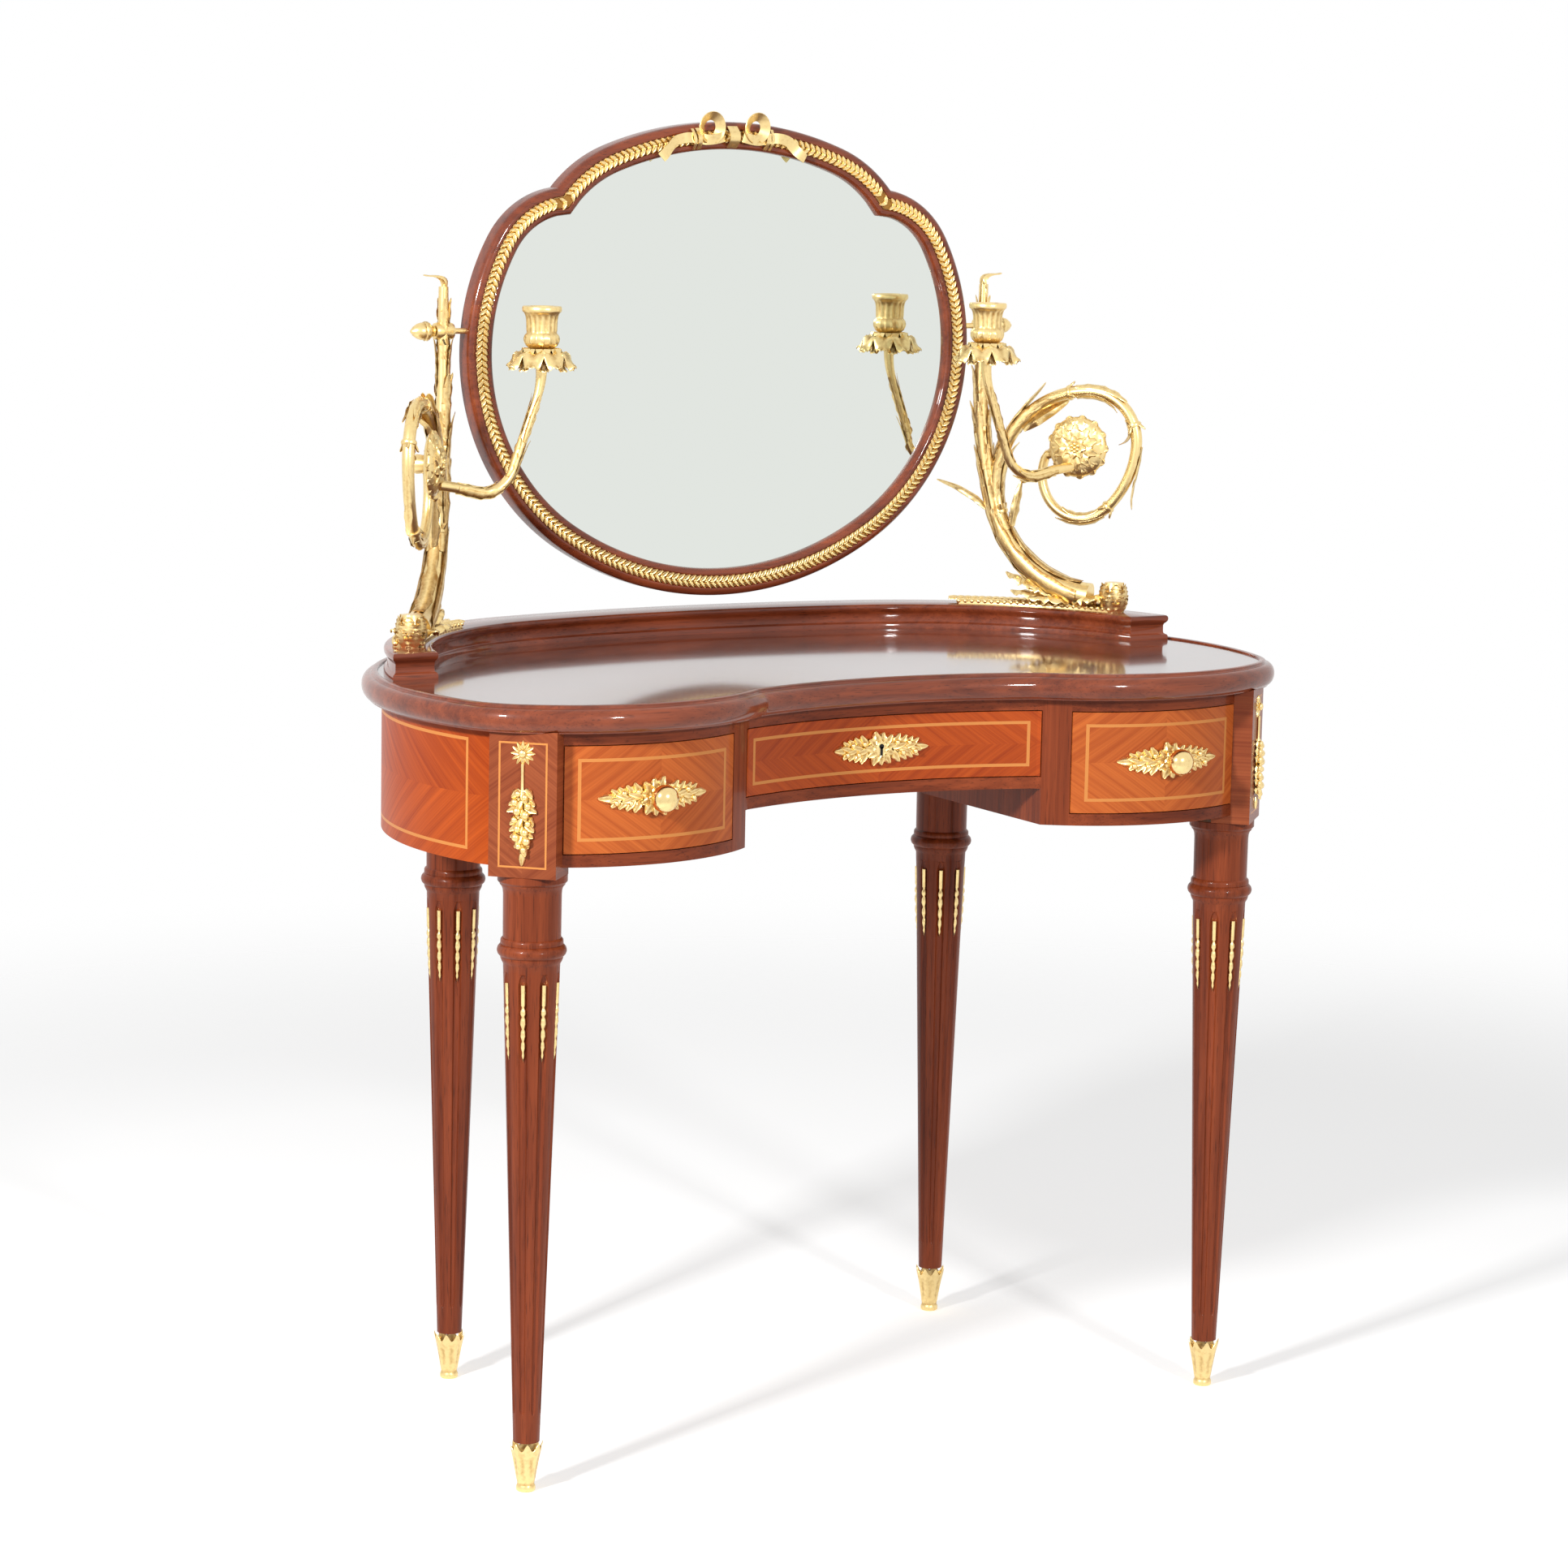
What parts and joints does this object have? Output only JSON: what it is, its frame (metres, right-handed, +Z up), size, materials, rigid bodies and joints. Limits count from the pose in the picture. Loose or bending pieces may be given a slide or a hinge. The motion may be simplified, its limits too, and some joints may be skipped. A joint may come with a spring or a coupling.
{
  "type": "dressing table",
  "caption": "Kidney-shaped veneered dressing table with bowed drawers, low gallery, tilting shaped mirror and gilt bronze candle arms on fluted legs.",
  "frame": {"origin": "on the floor under the centre of the object's plan box", "axes": "+Z up, -Y to the front where the drawers open, +X to the right of someone facing the front"},
  "size_m": [0.983, 0.5641, 1.334],
  "materials": {
    "mahogany": "french polished mahogany",
    "tulipwood": "polished quartered veneer with pale stringing",
    "oak": "plain oak lining",
    "gilt_bronze": "chased gilt bronze",
    "steel": "filed steel lock",
    "mirror": "bevelled silvered glass"
  },
  "bodies": {
    "table": {"top_panel": "tulipwood", "top_edge_moulding": "mahogany", "gallery": "mahogany", "side_panel_left": "tulipwood", "side_panel_right": "tulipwood", "back_panel": "tulipwood", "post_left": "mahogany", "post_right": "mahogany", "back_block_left": "oak", "back_block_right": "oak", "knee_panel_left": "mahogany", "knee_panel_right": "mahogany", "upper_rails": "mahogany", "lower_rails": "mahogany", "dust_boards": "oak", "drawer_guides": "oak", "leg_chandelles": "gilt_bronze", "post_mount_left": "gilt_bronze", "post_mount_right": "gilt_bronze", "leg_front_left": "mahogany", "leg_front_right": "mahogany", "leg_back_left": "mahogany", "leg_back_right": "mahogany", "sabot_front_left": "gilt_bronze", "sabot_front_right": "gilt_bronze", "sabot_back_left": "gilt_bronze", "sabot_back_right": "gilt_bronze", "support_left": "gilt_bronze", "support_right": "gilt_bronze", "support_base_left": "gilt_bronze", "support_base_right": "gilt_bronze", "rosette_left": "gilt_bronze", "rosette_right": "gilt_bronze", "candle_arm_left": "gilt_bronze", "candle_arm_right": "gilt_bronze", "drip_pan_left": "gilt_bronze", "drip_pan_right": "gilt_bronze", "candle_nozzle_left": "gilt_bronze", "candle_nozzle_right": "gilt_bronze"},
    "mirror": {"mirror_frame": "mahogany", "mirror_band": "gilt_bronze", "mirror_glass": "mirror", "mirror_backboard": "oak", "mirror_bow": "gilt_bronze"},
    "pivot_screw_left": {"pivot_screw_left": "gilt_bronze"},
    "pivot_screw_right": {"pivot_screw_right": "gilt_bronze"},
    "drawer_left": {"drawer_left_front": "tulipwood", "drawer_left_box": "oak", "drawer_left_mount": "gilt_bronze", "drawer_left_knob": "gilt_bronze"},
    "drawer_right": {"drawer_right_front": "tulipwood", "drawer_right_box": "oak", "drawer_right_mount": "gilt_bronze", "drawer_right_knob": "gilt_bronze"},
    "drawer_centre": {"drawer_centre_front": "tulipwood", "drawer_centre_box": "oak", "escutcheon": "gilt_bronze", "lock_case": "steel"},
    "lock_bolt": {"lock_bolt": "steel"}
  },
  "joints": [
    {"name": "drawer_left_slide", "type": "slide", "parent": "table", "child": "drawer_left", "axis": [0, -1, 0], "range_m": [0, 0.18]},
    {"name": "drawer_right_slide", "type": "slide", "parent": "table", "child": "drawer_right", "axis": [0, -1, 0], "range_m": [0, 0.18]},
    {"name": "drawer_centre_slide", "type": "slide", "parent": "table", "child": "drawer_centre", "axis": [0, -1, 0], "range_m": [0, 0.18]},
    {"name": "mirror_tilt", "type": "hinge", "parent": "table", "child": "mirror", "pos_m": [0, 0.16336, 1.107], "axis": [1, 0, 0], "range_deg": [-20, 20]},
    {"name": "pivot_screw_left_turn", "type": "hinge", "parent": "table", "child": "pivot_screw_left", "pos_m": [0, 0.16336, 1.107], "axis": [1, 0, 0], "range_deg": [-180, 180]},
    {"name": "pivot_screw_right_turn", "type": "hinge", "parent": "table", "child": "pivot_screw_right", "pos_m": [0, 0.16336, 1.107], "axis": [1, 0, 0], "range_deg": [-180, 180]},
    {"name": "lock_bolt_slide", "type": "slide", "parent": "drawer_centre", "child": "lock_bolt", "axis": [0, 0, 1], "range_m": [0, 0.006]}
  ]
}
